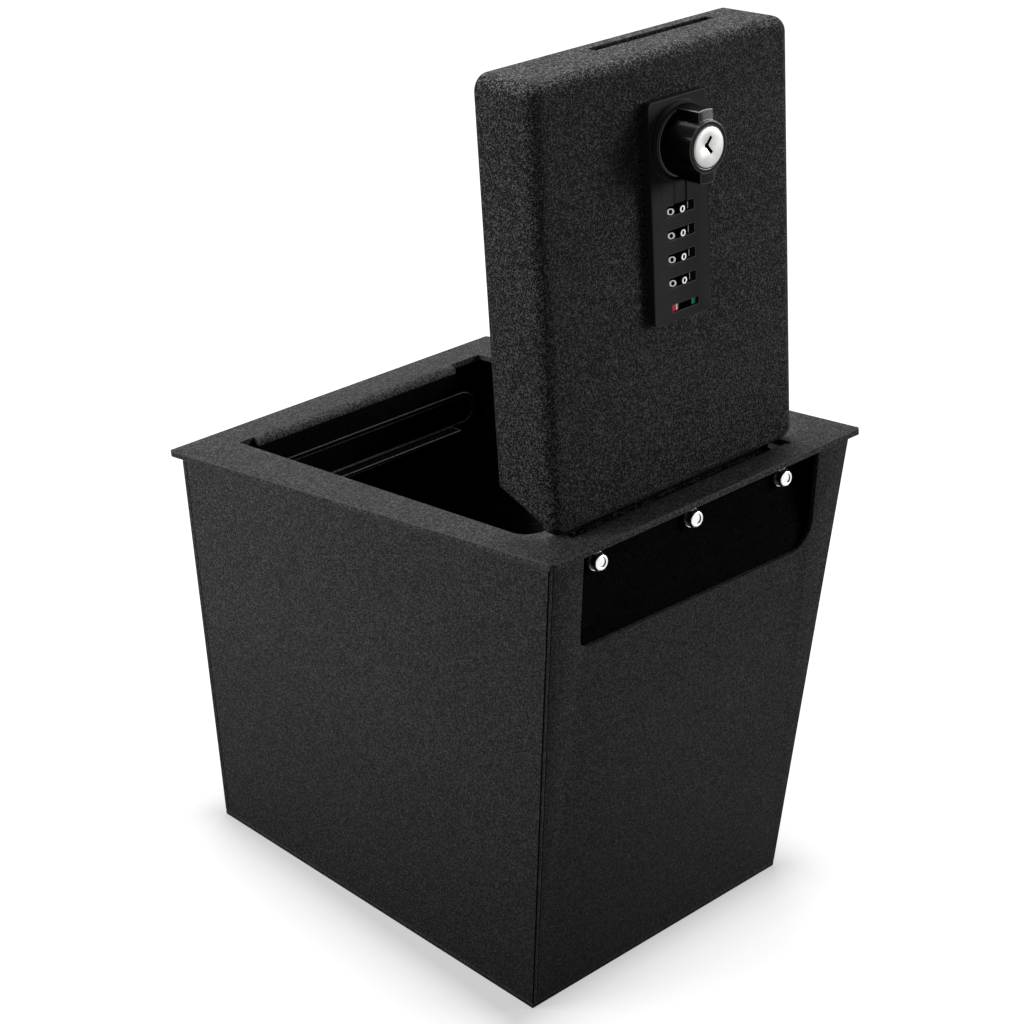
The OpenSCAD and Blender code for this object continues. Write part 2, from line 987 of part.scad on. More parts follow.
module lock_plate() {
    dial_room = dial_width + 2 * loose_clearance;
    color("#242527")
        placed()
            at_knob()
                difference() {
                    union() {
                        difference() {
                            translate([0, -plate_below, 0])
                                linear_extrude(plate_thickness)
                                    rounded_rectangle(
                                        plate_width,
                                        plate_above + plate_below,
                                        plate_corner_radius
                                    );
                            translate([
                                -groove_width / 2,
                                dial_room / 2 - dial_drop - overcut,
                                plate_thickness - groove_depth
                            ])
                                cube([
                                    groove_width,
                                    dial_drop - dial_room / 2 + overcut - ring_inside,
                                    groove_depth + overcut
                                ]);
                        }
                        knob_ring();
                        translate([0, 0, -lid_sheet])
                            linear_extrude(lid_sheet)
                                tongue_shape(0);
                    }
                    dial_places() {
                        translate([-window_width / 2, -dial_room / 2, 0])
                            cube([window_width, dial_room, plate_thickness + overcut]);
                        translate([0, -dial_room / 2, dial_axis_z])
                            rod_y(dial_radius + dial_recess - 0.1, dial_room);
                    }
                    translate([0, 0, -lid_sheet - overcut])
                        cylinder(
                            r = spindle_radius + running_clearance,
                            h = lid_sheet + plate_thickness + 2 * overcut
                        );
                    translate([slide_shift, -slide_drop, 0]) {
                        translate([-window_width / 2, -slide_window / 2, slide_floor])
                            cube([window_width, slide_window, plate_thickness]);
                        translate([-slide_pocket_half, -slide_foot_height / 2, slide_floor])
                            cube([
                                2 * slide_pocket_half,
                                slide_foot_height,
                                slide_foot_room
                            ]);
                    }
                    screw_places()
                        translate([0, 0, -lid_sheet - overcut])
                            cylinder(r = screw_radius, h = lid_sheet + overcut + 2);
                }
}

module lock_housing() {
    cavity_floor = dial_axis_z - dial_radius - moving_gap;
    color("#1b1b1d")
        placed()
            at_knob()
                difference() {
                    translate([-housing_width / 2, -housing_below, -housing_back])
                        cube([
                            housing_width,
                            housing_above + housing_below,
                            housing_back - lid_sheet
                        ]);
                    translate([
                        -dial_cavity_half,
                        -dial_drop - dial_last_end,
                        cavity_floor
                    ])
                        cube([2 * dial_cavity_half, dial_last_end + dial_cavity_top, housing_back]);
                    translate([
                        0,
                        -dial_drop - dial_last_end - axle_seat,
                        dial_axis_z
                    ])
                        rod_y(
                            axle_radius + running_clearance,
                            dial_last_end + dial_cavity_top + 2 * axle_seat
                        );
                    translate([0, 0, -housing_back - overcut])
                        cylinder(r = spindle_radius + running_clearance, h = housing_back + overcut);
                    screw_places()
                        translate([0, 0, -housing_back - overcut])
                            cylinder(r = screw_radius + loose_clearance, h = housing_back + overcut);
                }
}

module lock_screws() {
    color("#9a9c9f")
        placed()
            at_knob()
                screw_places() {
                    translate([0, 0, -housing_back])
                        cylinder(r = screw_radius - running_clearance, h = housing_back + 1.5);
                    translate([0, 0, -housing_back - screw_head_height])
                        cylinder(r = screw_head_radius, h = screw_head_height);
                }
}

module dial_axle() {
    color("#b4b6b9")
        placed()
            at_knob()
                translate([0, -dial_drop - dial_last_end - axle_seat, dial_axis_z])
                    rod_y(axle_radius, dial_last_end + dial_cavity_top + 2 * axle_seat);
}

module dial(index) {
    gate = 2.2;
    color("#141416")
        placed()
            at_knob()
                translate([0, -dial_drop - index * dial_pitch, dial_axis_z])
                    difference() {
                        union() {
                            translate([0, -dial_width / 2, 0])
                                rod_y(dial_radius, dial_width);
                            translate([0, -dial_width / 2 - dial_hub_length, 0])
                                rod_y(dial_hub_radius, dial_hub_length);
                        }
                        translate([0, -dial_width / 2 - dial_hub_length - overcut, 0])
                            rod_y(
                                axle_radius + running_clearance,
                                dial_width + dial_hub_length + 2 * overcut
                            );
                        translate([
                            -gate / 2,
                            -dial_width / 2 - dial_hub_length - overcut,
                            -dial_hub_radius - overcut
                        ])
                            cube([gate, dial_hub_length + overcut, gate + overcut]);
                        for (digit = [0 : digit_count - 1])
                            rotate([0, (digit + 0.5) * 360 / digit_count + dial_turn, 0])
                                translate([0, -dial_width / 2 - overcut, dial_radius + 0.5])
                                    rod_y(0.9, dial_width + 2 * overcut);
                    }
}

module slide_button() {
    color("#101012")
        placed()
            at_knob()
                translate([slide_offset - slide_length / 2, -slide_drop, slide_floor + slide_lift]) {
                    translate([0, -slide_foot_height / 2 + 0.2, 0])
                        cube([slide_length, slide_foot_height - 0.4, slide_foot_thickness]);
                    translate([0, -slide_window / 2 + 0.2, 0])
                        cube([
                            slide_length,
                            slide_window - 0.4,
                            plate_thickness - slide_floor - slide_lift - slide_recess
                        ]);
                }
}

module slide_mark(start) {
    placed()
        at_knob()
            translate([start, -slide_drop - slide_window / 2 + 0.2, slide_floor])
                cube([slide_mark_length, slide_window - 0.4, slide_mark_thickness]);
}

module slide_mark_red() {
    color("#c8202c")
        slide_mark(slide_window_left + slide_mark_left);
}

module slide_mark_white() {
    color("#dcdcd8")
        slide_mark(slide_window_left + slide_mark_left + slide_mark_length);
}

module slide_mark_green() {
    color("#1f8a5c")
        slide_mark(slide_window_left + window_width - slide_mark_right - slide_mark_length);
}

module knob() {
    lead = 1;
    color("#17181a")
        placed()
            at_knob()
                difference() {
                    union() {
                        translate([0, 0, knob_back])
                            rotate_extrude()
                                polygon([
                                    [0, 0],
                                    [knob_base_radius, 0],
                                    [knob_base_radius, knob_base_height - lead],
                                    [knob_base_radius - lead, knob_base_height],
                                    [0, knob_base_height]
                                ]);
                        translate([0, 0, knob_back])
                            cylinder(r = knob_body_radius, h = knob_top - knob_back);
                        translate([0, 0, wing_bottom])
                            intersection() {
                                translate([-wing_width / 2, -wing_reach, 0])
                                    cube([wing_width, 2 * wing_reach, knob_top - wing_bottom - lead]);
                                cylinder(r = wing_reach, h = knob_height);
                            }
                    }
                    translate([0, 0, plug_face_back - plug_gap])
                        cylinder(r = plug_face_radius + plug_gap, h = knob_height);
                    translate([0, 0, barrel_bottom])
                        cylinder(r = barrel_radius + running_clearance, h = knob_height);
                    translate([0, 0, knob_back - overcut])
                        cylinder(r = spindle_radius + running_clearance, h = knob_height);
                }
}

module knob_spindle() {
    shaft_end = cam_top + 0.2;
    color("#a9abae")
        placed()
            at_knob() {
                translate([0, 0, shaft_end])
                    cylinder(r = spindle_radius, h = spindle_top - shaft_end);
                translate([-spindle_square / 2, -spindle_square / 2, cam_top - cam_thickness])
                    cube([spindle_square, spindle_square, cam_thickness + 0.2]);
                translate([0, 0, spindle_end])
                    cylinder(r = thread_radius, h = cam_top - cam_thickness - spindle_end);
            }
}

module key_barrel() {
    color("#a9abae")
        placed()
            at_knob()
                difference() {
                    translate([0, 0, barrel_bottom])
                        cylinder(r = barrel_radius, h = plug_face_back - plug_gap - barrel_bottom);
                    translate([0, 0, plug_shaft_bottom - plug_gap])
                        cylinder(r = plug_radius + running_clearance, h = knob_height);
                }
}

module keyway_stroke(start, end) {
    width = 1.5;
    run = end - start;
    translate(start)
        rotate(atan2(run[1], run[0]))
            translate([-width / 2, -width / 2])
                square([norm(run) + width, width]);
}

module keyway() {
    top = [0.8, 4.2];
    left = [-1.9, 1.2];
    bottom = [1, -2.4];
    keyway_stroke(top, left);
    keyway_stroke(left, bottom);
    translate(left)
        circle(1.15);
}

module key_plug() {
    lead = 0.5;
    color("#e4e5e7")
        placed()
            at_knob()
                difference() {
                    union() {
                        translate([0, 0, plug_face_back])
                            rotate_extrude()
                                polygon([
                                    [0, 0],
                                    [plug_face_radius, 0],
                                    [plug_face_radius, plug_face_thickness - lead],
                                    [plug_face_radius - lead, plug_face_thickness],
                                    [0, plug_face_thickness]
                                ]);
                        translate([0, 0, plug_shaft_bottom])
                            cylinder(r = plug_radius, h = plug_face_back - plug_shaft_bottom + 0.5);
                    }
                    translate([0, 0, plug_shaft_bottom + 4])
                        linear_extrude(knob_height)
                            keyway();
                }
}

module latch_cam() {
    color("#b4b6b9")
        placed()
            at_knob()
                translate([0, 0, -cam_depth - cam_thickness / 2])
                    linear_extrude(cam_thickness)
                        difference() {
                            union() {
                                circle(cam_hub_radius);
                                translate([0, -cam_width / 2])
                                    square([cam_length - 4, cam_width]);
                                translate([0, 4 - cam_width / 2])
                                    square([cam_length, cam_width - 8]);
                                for (side = [-1, 1])
                                    translate([cam_length - 4, side * (cam_width / 2 - 4)])
                                        circle(4);
                            }
                            square(spindle_square + 0.1, center = true);
                        }
}

module cam_nut() {
    color("#b4b6b9")
        placed()
            at_knob()
                translate([0, 0, cam_top - cam_thickness - cam_nut_height])
                    difference() {
                        cylinder(r = thread_radius * 1.9, h = cam_nut_height, $fn = 6);
                        translate([0, 0, -overcut])
                            cylinder(r = thread_radius + running_clearance, h = cam_nut_height + 2 * overcut);
                    }
}

near_wall();
far_wall();
left_wall();
right_wall();
floor_plate();
rim_plate();
hinge_baffle();
keeper_frame();
hinge_body_leaf();
hinge_pin();
hinge_bolts();
hinge_washers();
hinge_nuts();
lid_pan();
hinge_lid_leaf();
lock_plate();
lock_housing();
lock_screws();
dial_axle();
dial(0);  // dial_1
dial(1);  // dial_2
dial(2);  // dial_3
dial(3);  // dial_4
slide_button();
slide_mark_red();
slide_mark_white();
slide_mark_green();
knob();
knob_spindle();
key_barrel();
key_plug();
latch_cam();
cam_nut();
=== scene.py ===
# %% [markdown]
# # Vehicle console safe
# A tapered box of folded and welded sheet steel with a sloping rim, a pan lid that stands
# open on its hinge, and a lock with four dials, a turning knob and a key plug. The packed
# CAD model is loaded as a fixed frame. What follows eases its edges, prints the dial
# figures, finishes every surface and lights the safe as for a catalogue picture.

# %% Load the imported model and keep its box
import json
import math

import bpy
from mathutils import Matrix, Vector

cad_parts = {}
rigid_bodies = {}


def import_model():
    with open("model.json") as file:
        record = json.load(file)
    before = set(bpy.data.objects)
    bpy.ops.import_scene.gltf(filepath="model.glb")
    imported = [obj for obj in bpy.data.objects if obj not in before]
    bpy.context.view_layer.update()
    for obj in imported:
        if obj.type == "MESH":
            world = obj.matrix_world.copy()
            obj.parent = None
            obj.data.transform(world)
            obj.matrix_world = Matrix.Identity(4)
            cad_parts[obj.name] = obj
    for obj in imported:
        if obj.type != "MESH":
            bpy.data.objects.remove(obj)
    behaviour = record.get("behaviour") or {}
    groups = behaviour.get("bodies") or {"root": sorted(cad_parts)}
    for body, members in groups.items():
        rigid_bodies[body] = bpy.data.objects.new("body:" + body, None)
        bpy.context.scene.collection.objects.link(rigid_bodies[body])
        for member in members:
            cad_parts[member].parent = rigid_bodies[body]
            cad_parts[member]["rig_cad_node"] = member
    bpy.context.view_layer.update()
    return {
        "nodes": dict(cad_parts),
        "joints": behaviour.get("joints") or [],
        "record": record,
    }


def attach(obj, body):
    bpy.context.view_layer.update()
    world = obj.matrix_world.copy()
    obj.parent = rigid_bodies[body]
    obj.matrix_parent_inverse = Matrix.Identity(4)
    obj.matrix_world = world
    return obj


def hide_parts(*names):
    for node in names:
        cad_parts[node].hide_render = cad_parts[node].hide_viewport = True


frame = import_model()


# %% [markdown]
# ## Where things are
# The record says where each joint turns. The knob's axis stands square to the lid's face,
# and the dials' axles run down the lid, so those two directions and the X axis are the
# lid's own frame as it stands open.

# %% Read the lid's directions from the joints
MM = 0.001
joints = {joint["name"]: joint for joint in frame["joints"]}
lid_across = Vector((1, 0, 0))
lid_out = Vector(joints["knob_turn"]["axis"]).normalized()
lid_up = Vector(joints["dial_1_turn"]["axis"]).normalized()
body_of = {
    node: body
    for body, nodes in frame["record"]["behaviour"]["bodies"].items()
    for node in nodes
}
slot_of = {row["node"]: row["material_slot"] for row in frame["record"]["subparts"]}
print("lid leans", round(math.degrees(math.acos(lid_up.z)), 2), "degrees from upright")

# %% [markdown]
# ## Finishes: a short way to write them
# A finish is a small web of nodes. Written as sums it reads like the recipe it is, so one
# class wraps an output and turns + - * into Math nodes, and one more makes any other node
# from its settings and the values of its sockets.

# %% Outputs that can be added and multiplied
class Wire:
    def __init__(self, finish, socket):
        self.finish = finish
        self.socket = socket

    def math(self, operation, first, second):
        return self.finish.add("Math", {"operation": operation}, {0: first, 1: second})

    def __add__(self, other):
        return self.math("ADD", self, other)

    def __radd__(self, other):
        return self.math("ADD", other, self)

    def __sub__(self, other):
        return self.math("SUBTRACT", self, other)

    def __mul__(self, other):
        return self.math("MULTIPLY", self, other)


# %% A finish that grows node by node
class Finish:
    def __init__(self, name, tree=None):
        if tree is None:
            self.material = bpy.data.materials.new(name)
            self.material.use_nodes = True
            tree = self.material.node_tree
            self.shader = tree.nodes["Principled BSDF"]
        self.tree = tree

    def plug(self, socket, value):
        if isinstance(value, Wire):
            self.tree.links.new(value.socket, socket)
        else:
            socket.default_value = value

    def add(self, kind, settings=None, sockets=None, output=0):
        node = self.tree.nodes.new("ShaderNode" + kind)
        for key, value in (settings or {}).items():
            if key == "stops":
                elements = node.color_ramp.elements
                while len(elements) < len(value):
                    elements.new(0.5)
                for element, (place, shade) in zip(elements, value):
                    element.position = place
                    element.color = (shade, shade, shade, 1)
            else:
                setattr(node, key, value)
        for key, value in (sockets or {}).items():
            if isinstance(key, int):
                socket = node.inputs[key]
            else:
                socket = next(s for s in node.inputs if key in (s.identifier, s.name))
            self.plug(socket, value)
        if isinstance(output, int):
            return Wire(self, node.outputs[output])
        return Wire(self, next(s for s in node.outputs if output in (s.identifier, s.name)))

    def place(self, scale=(1, 1, 1), turn=(0, 0, 0)):
        here = self.add("TexCoord", output="Object")
        return self.add("Mapping", sockets={"Vector": here, "Scale": scale, "Rotation": turn})

    def along(self, letter):
        here = self.add("TexCoord", output="Object")
        return self.add("SeparateXYZ", sockets={"Vector": here}, output=letter)

    def noise(self, vector, scale, detail=2.0, roughness=0.5, distortion=0.0):
        sizes = {
            "Vector": vector,
            "Scale": scale,
            "Detail": detail,
            "Roughness": roughness,
            "Distortion": distortion,
        }
        return self.add("TexNoise", sockets=sizes)

    def ramp(self, value, *stops):
        return self.add("ValToRGB", {"stops": stops}, {0: value})

    def blend(self, factor, first, second):
        colours = {"Factor_Float": factor, "A_Color": first, "B_Color": second}
        return self.add("Mix", {"data_type": "RGBA"}, colours, "Result_Color")

    def bump(self, height, distance, strength=1.0):
        sizes = {"Height": height, "Distance": distance, "Strength": strength}
        return self.add("Bump", sockets=sizes)

    def set(self, **values):
        for key, value in values.items():
            self.plug(self.shader.inputs[key.replace("_", " ")], value)


def grey(level, blue=1.04):
    return (level, level, level * blue, 1)


# %% [markdown]
# ## Textured powder coat
# Every sheet of the safe is baked with a black texture powder. It dries into tiny
# wrinkles, which catch light on one flank and hide it on the other, so the surface
# sparkles in fine grains. The lid has the deepest wrinkle, which runs a little in two
# directions like a woven cloth. One recipe serves all, with its two shades, the size and
# the depth of its grain, and how much of it is woven given for each.
# Some coats carry painted light: a painted top light and a painted shade near the box's foot.

# %% How far a face looks up the lid, for the painted top light
def facing_up(finish):
    outward = finish.add("TexCoord", output="Normal")
    upward = finish.add(
        "VectorMath", {"operation": "DOT_PRODUCT"}, {0: outward, 1: tuple(lid_up)}, "Value"
    )
    return finish.ramp(upward, (0.2, 0), (0.9, 1))


# %% How high up the box a place is, for the painted shade near its foot
BOX_HEIGHT = 277.8 * MM


def height_up_the_box(finish):
    return finish.ramp(finish.along("Z") * (1 / BOX_HEIGHT), (0, 0), (0.5, 1))


# %% The coat's recipe
def ridges(finish, vector, scale):
    folds = finish.noise(vector, scale, 1, 0.5, 0.5)
    return finish.ramp(folds, (0.38, 0), (0.5, 1), (0.62, 0))


FOLD_SCALE = 0.7
FOLD_STRETCH = 0.5
FOLD_TURN = (0.2, 0.3, 0)
CLOUD_SCALE = 9


def powder_coat(name, shades, grain, depth, weave, span, sheen=0.03, top_light=1.0, foot_shade=1.0):
    dark, light = shades
    low, high = span
    finish = Finish(name)
    plain = finish.place()
    grains = finish.noise(plain, 1 / grain, 1, 0.5, 0.3)
    upright = finish.place(scale=(1, 1, FOLD_STRETCH), turn=FOLD_TURN)
    level = finish.place(scale=(FOLD_STRETCH, FOLD_STRETCH, 1), turn=FOLD_TURN)
    warp = ridges(finish, upright, FOLD_SCALE / grain)
    weft = ridges(finish, level, FOLD_SCALE / grain)
    wrinkle = grains * (1 - weave) + (warp + weft) * (0.5 * weave)
    clouds = finish.noise(plain, CLOUD_SCALE, 2, 0.5)
    tone = wrinkle + (clouds - 0.5) * 0.06
    shade = finish.ramp(tone, (low, 0), (high, 1))
    speckle = finish.blend(shade, grey(dark), grey(light))
    # Faces that look up the lid are painted lighter by top_light: a painted top light.
    if top_light > 1.0:
        top_lit = finish.blend(shade, grey(dark * top_light), grey(light * top_light))
        speckle = finish.blend(facing_up(finish), speckle, top_lit)
    # The coat is painted darker towards the foot of the box by foot_shade: painted shade.
    if foot_shade < 1.0:
        shaded_near_foot = finish.blend(shade, grey(dark * foot_shade), grey(light * foot_shade))
        speckle = finish.blend(height_up_the_box(finish), shaded_near_foot, speckle)
    finish.set(
        Base_Color=speckle,
        Roughness=0.62 + (clouds - 0.5) * 0.2,
        Specular_IOR_Level=sheen,
        Normal=finish.bump(wrinkle, depth),
    )
    return finish.material


coats = {
    "coat_body": powder_coat(
        "coat_body", (0.0115, 0.0565), 0.62 * MM, 0.35 * MM, 0.45, (0.44, 0.64), 0.02, foot_shade=0.6
    ),
    "coat_rim": powder_coat(
        "coat_rim", (0.008, 0.066), 0.75 * MM, 0.4 * MM, 0.45, (0.42, 0.66), 0.05
    ),
    "coat_lid": powder_coat(
        "coat_lid", (0.0005, 0.061), 0.66 * MM, 0.6 * MM, 0.7, (0.45, 0.65), 0.05, top_light=2.4
    ),
    # The inner coat is near black: painted shade for the parts deep in the box and the faces
    # given it below.
    "coat_inner": powder_coat(
        "coat_inner", (0.001, 0.006), 0.8 * MM, 0.5 * MM, 0.2, (0.3, 0.7), 0.0
    ),
}
hinge_coat = powder_coat(
    "hinge_coat", (0.0003, 0.02), 0.8 * MM, 0.4 * MM, 0.7, (0.45, 0.65), 0.02, top_light=3.5
)
print("powder coats:", sorted(coats))

# %% A thinner coat for the edges, and a painted highlight on the inner ones
EDGE_GRAIN = 0.9 * MM


def edge_coat(name, shades, depth=0.15 * MM, sheen=0.03, top_light=1.0):
    return powder_coat(name, shades, EDGE_GRAIN, depth, 0.1, (0.3, 0.7), sheen, top_light)


edge_coats_and_highlights = {
    "coat_body": edge_coat("coat_body_edge", (0.01, 0.04)),
    "coat_rim": edge_coat("coat_rim_edge", (0.012, 0.06), sheen=0.05),
    # The lid's edges take the painted top light as well.
    "coat_lid": edge_coat("coat_lid_edge", (0.002, 0.024), 0.2 * MM, 0.05, 2.0),
    # The inner edges are painted far lighter than the inner coat: a painted highlight.
    "coat_inner": edge_coat("coat_inner_edge", (0.03, 0.12)),
}
print("edge coats:", sorted(edge_coats_and_highlights))

# %% [markdown]
# ## Black zinc, moulded and cast parts
# The hinge is black zinc over steel, the lock's plate a satin casting and its knob a
# glossy moulding. All are smooth beside the coat, so their grain is shallow and their
# shine changes only in faint clouds, where hands and tools have been.

# %% Painted light and shade across the lock: start, end and the level at each
LOCK_MIDDLE = joints["knob_turn"]["pos_m"][0]
PLATE_HALF = 19.2 * MM
GROOVE_HALF = 4.5 * MM
GROOVE_SHADE = 3 * MM
# The plate is painted lighter at its left and darker at its right: painted light and shade.
PLATE_PAINTED_LIGHT = (LOCK_MIDDLE - PLATE_HALF, LOCK_MIDDLE + PLATE_HALF, 1.36, 0.84)
# The groove's floor is painted darker at its left side: a painted shadow.
GROOVE_PAINTED_SHADOW = (
    LOCK_MIDDLE - GROOVE_HALF,
    LOCK_MIDDLE - GROOVE_HALF + GROOVE_SHADE,
    0.3,
    1.1,
)


def cloudy(finish, clouds, level):
    return finish.blend(clouds, grey(level * 0.8), grey(level * 1.2))


def swept(finish, clouds, level, painted_sweep):
    if painted_sweep is None:
        return cloudy(finish, clouds, level)
    start, end, first, last = painted_sweep
    across = (finish.along("X") - start) * (1 / (end - start))
    ends = [cloudy(finish, clouds, level * part) for part in (first, last)]
    return finish.blend(finish.ramp(across, (0, 0), (1, 1)), *ends)


# %% Smooth dark finishes
def smooth_dark(name, level, roughness, spread, grain, depth, sheen=0.0, coat=0.0, painted_sweep=None):
    finish = Finish(name)
    plain = finish.place()
    clouds = finish.noise(plain, 45, 3, 0.55)
    grains = finish.noise(plain, 1 / grain, 2, 0.6)
    finish.set(
        Base_Color=swept(finish, clouds, level, painted_sweep),
        Roughness=roughness + (clouds - 0.5) * spread,
        Normal=finish.bump(grains, depth, 0.6),
        Specular_IOR_Level=sheen,
        Coat_Weight=coat,
    )
    return finish.material


def satin_cast(name, level, roughness, sheen, coat=0.0, painted_sweep=None):
    return smooth_dark(
        name, level, roughness, 0.08, 0.35 * MM, 0.005 * MM, sheen, coat, painted_sweep
    )


dark_finishes = {
    "hinge_steel": smooth_dark("hinge_steel", 0.02, 0.5, 0.2, 0.5 * MM, 0.03 * MM, 0.05),
    "lock_plate_black": satin_cast("lock_plate_black", 0.021, 0.7, 0.02, painted_sweep=PLATE_PAINTED_LIGHT),
    "housing_black": smooth_dark("housing_black", 0.003, 0.6, 0.1, 0.6 * MM, 0.03 * MM, 0.01),
    "dial_black": smooth_dark("dial_black", 0.002, 0.7, 0.1, 0.4 * MM, 0.01 * MM),
    "slide_black": smooth_dark("slide_black", 0.0012, 0.6, 0.1, 0.4 * MM, 0.01 * MM),
    "knob_gloss": smooth_dark("knob_gloss", 0.003, 0.3, 0.1, 0.5 * MM, 0.005 * MM, 0.05, 0.04),
}
# The knob's and the plate's edges are painted lighter than their faces: a painted highlight.
knob_edge = satin_cast("knob_edge", 0.02, 0.35, 0.2, 0.2)
plate_edge_highlight = satin_cast("lock_plate_edge", 0.05, 0.6, 0.05)
groove_painted_shadow = satin_cast("lock_groove", 0.021, 0.7, 0.02, painted_sweep=GROOVE_PAINTED_SHADOW)
print("smooth dark finishes:", sorted(dark_finishes))

# %% [markdown]
# ## Bright metal
# Turned and plated parts carry fine tool lines. A noise stretched a hundredfold along one
# direction gives such lines, and the same lines vary the roughness.

# %% Plated and turned metal
def bright_metal(name, level, warm, roughness, lines, depth):
    finish = Finish(name)
    stretched = finish.place(scale=lines)
    brushing = finish.noise(stretched, 1200, 2, 0.5)
    clouds = finish.noise(finish.place(), 160, 2, 0.5)
    dull = (level * 0.86, level * 0.85, level * 0.84 / warm, 1)
    clean = (level, level, level / warm, 1)
    finish.set(
        Base_Color=finish.blend(clouds, dull, clean),
        Metallic=1.0,
        Roughness=roughness + (brushing - 0.5) * 0.2 + (clouds - 0.5) * 0.1,
        Normal=finish.bump(brushing, depth, 0.5),
    )
    return finish.material


bright_finishes = {
    "pin_steel": bright_metal("pin_steel", 0.5, 1.0, 0.4, (0.02, 1, 1), 0.01 * MM),
    "bolt_nickel": bright_metal("bolt_nickel", 0.86, 1.01, 0.28, (1, 1, 1), 0.01 * MM),
    "lock_steel": bright_metal("lock_steel", 0.52, 1.0, 0.38, (1, 0.05, 1), 0.01 * MM),
    "plug_nickel": bright_metal("plug_nickel", 0.37, 1.02, 0.42, (0.05, 1, 1), 0.008 * MM),
}
print("bright finishes:", sorted(bright_finishes))

# %% [markdown]
# ## Coloured inserts and figures
# The slide's red, white and green fields and the dial figures are coloured plastic and
# print. They are small, so they need only a slightly uneven tone and a soft shine.

# %% Inserts and print
def tinted(name, colour, roughness, glow=0.0):
    finish = Finish(name)
    clouds = finish.noise(finish.place(), 900, 2, 0.5)
    worn = tuple(0.82 * part for part in colour) + (1,)
    finish.set(
        Base_Color=finish.blend(clouds, worn, colour + (1,)),
        Roughness=roughness + (clouds - 0.5) * 0.2,
        Specular_IOR_Level=0.1,
        Emission_Color=colour + (1,),
        Emission_Strength=glow,
        Normal=finish.bump(clouds, 0.01 * MM, 0.4),
    )
    return finish.material


tints = {
    "mark_red": tinted("mark_red", (0.66, 0.01, 0.045), 0.4),
    "mark_white": tinted("mark_white", (0.8, 0.74, 0.62), 0.4),
    "mark_green": tinted("mark_green", (0.004, 0.14, 0.07), 0.4),
}
# The figures glow a little: painted light that makes the print read brighter.
figure_white = tinted("figure_white", (0.95, 0.94, 0.9), 0.45, glow=0.22)
finishes = {**coats, **dark_finishes, **bright_finishes, **tints}
print("finishes:", len(finishes))

# %% [markdown]
# ## Dress the CAD nodes
# Each node keeps its shape and takes the finish of its slot in the record.

# %% Give every node its finish
for name, node in frame["nodes"].items():
    node.data.materials.clear()
    coated_hinge = slot_of[name] == "hinge_steel"
    node.data.materials.append(hinge_coat if coated_hinge else finishes[slot_of[name]])
print("dressed nodes:", len(frame["nodes"]))

# %% [markdown]
# ## Ease the sheared and cast edges
# No real sheet has a knife edge: shearing, tumbling and the coat itself leave a small
# round that catches the light, and it is what shows where two sheets meet. A bevel on a
# merged copy of the CAD piece makes it. On coated sheets and on the lock's castings the
# new faces take a second finish. On the outer sheets it is the coat lying thin on an edge;
# on the inner sheets, the lock plate and the knob it is much lighter, a painted highlight.
# Where the bevel of a sharp corner would leave the piece's own box, it is drawn back into
# it. The copy then stands for its node.

# %% A copy of a node with eased edges
def select_only(piece):
    bpy.ops.object.select_all(action="DESELECT")
    piece.select_set(True)
    bpy.context.view_layer.objects.active = piece


def box_of(node):
    corners = [Vector(corner) for corner in node.bound_box]
    low = [min(corner[axis] for corner in corners) for axis in range(3)]
    high = [max(corner[axis] for corner in corners) for axis in range(3)]
    return low, high


def keep_inside(piece, node):
    low, high = box_of(node)
    for vertex in piece.data.vertices:
        vertex.co = [min(max(vertex.co[axis], low[axis]), high[axis]) for axis in range(3)]


MERGE_REACH = 0.002 * MM
FLAT_ANGLE = math.radians(0.8)
EDGE_ANGLE = math.radians(32)


def eased_copy(name, width, edge_finish=None):
    node = frame["nodes"][name]
    piece = node.copy()
    piece.data = node.data.copy()
    piece.parent = None
    piece.name = name + "_eased"
    del piece["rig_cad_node"]
    bpy.context.scene.collection.objects.link(piece)
    select_only(piece)
    bpy.ops.mesh.customdata_custom_splitnormals_clear()
    bpy.ops.object.mode_set(mode="EDIT")
    bpy.ops.mesh.select_all(action="SELECT")
    bpy.ops.mesh.remove_doubles(threshold=MERGE_REACH)
    bpy.ops.mesh.dissolve_limited(angle_limit=FLAT_ANGLE)
    bpy.ops.mesh.quads_convert_to_tris(quad_method="BEAUTY", ngon_method="BEAUTY")
    bpy.ops.object.mode_set(mode="OBJECT")
    if edge_finish is not None:
        piece.data.materials.append(edge_finish)
    bevel = piece.modifiers.new("eased", "BEVEL")
    bevel.width = width
    bevel.segments = 2
    bevel.limit_method = "ANGLE"
    bevel.angle_limit = EDGE_ANGLE
    bevel.use_clamp_overlap = False
    bevel.material = -1 if edge_finish is None else 1
    bpy.ops.object.modifier_apply(modifier=bevel.name)
    keep_inside(piece, node)
    bpy.ops.object.shade_smooth_by_angle(angle=EDGE_ANGLE)
    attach(piece, body_of[name])
    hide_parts(name)
    return piece


# %% The coated sheets
sheets = {
    "near_wall": 0.5,
    "far_wall": 0.5,
    "left_wall": 0.5,
    "right_wall": 0.5,
    "floor_plate": 0.5,
    "rim_plate": 0.6,
    "hinge_baffle": 0.3,
    "keeper_frame": 0.5,
    "lid_pan": 0.4,
}
eased = {}
for name, width in sheets.items():
    eased[name] = eased_copy(name, width * MM, edge_coats_and_highlights[slot_of[name]])
    print(eased[name].name, len(eased[name].data.polygons), "faces")

# %% The lock's castings and the fasteners
turned = {
    "lock_plate": 0.28,
    "knob": 0.4,
    "key_plug": 0.12,
    "slide_button": 0.12,
    "hinge_nuts": 0.2,
    "hinge_bolts": 0.15,
    "latch_cam": 0.3,
}
cast_edge_highlights = {"lock_plate": plate_edge_highlight, "knob": knob_edge}
for name, width in turned.items():
    eased[name] = eased_copy(name, width * MM, cast_edge_highlights.get(name))
    print(eased[name].name, len(eased[name].data.polygons), "faces")

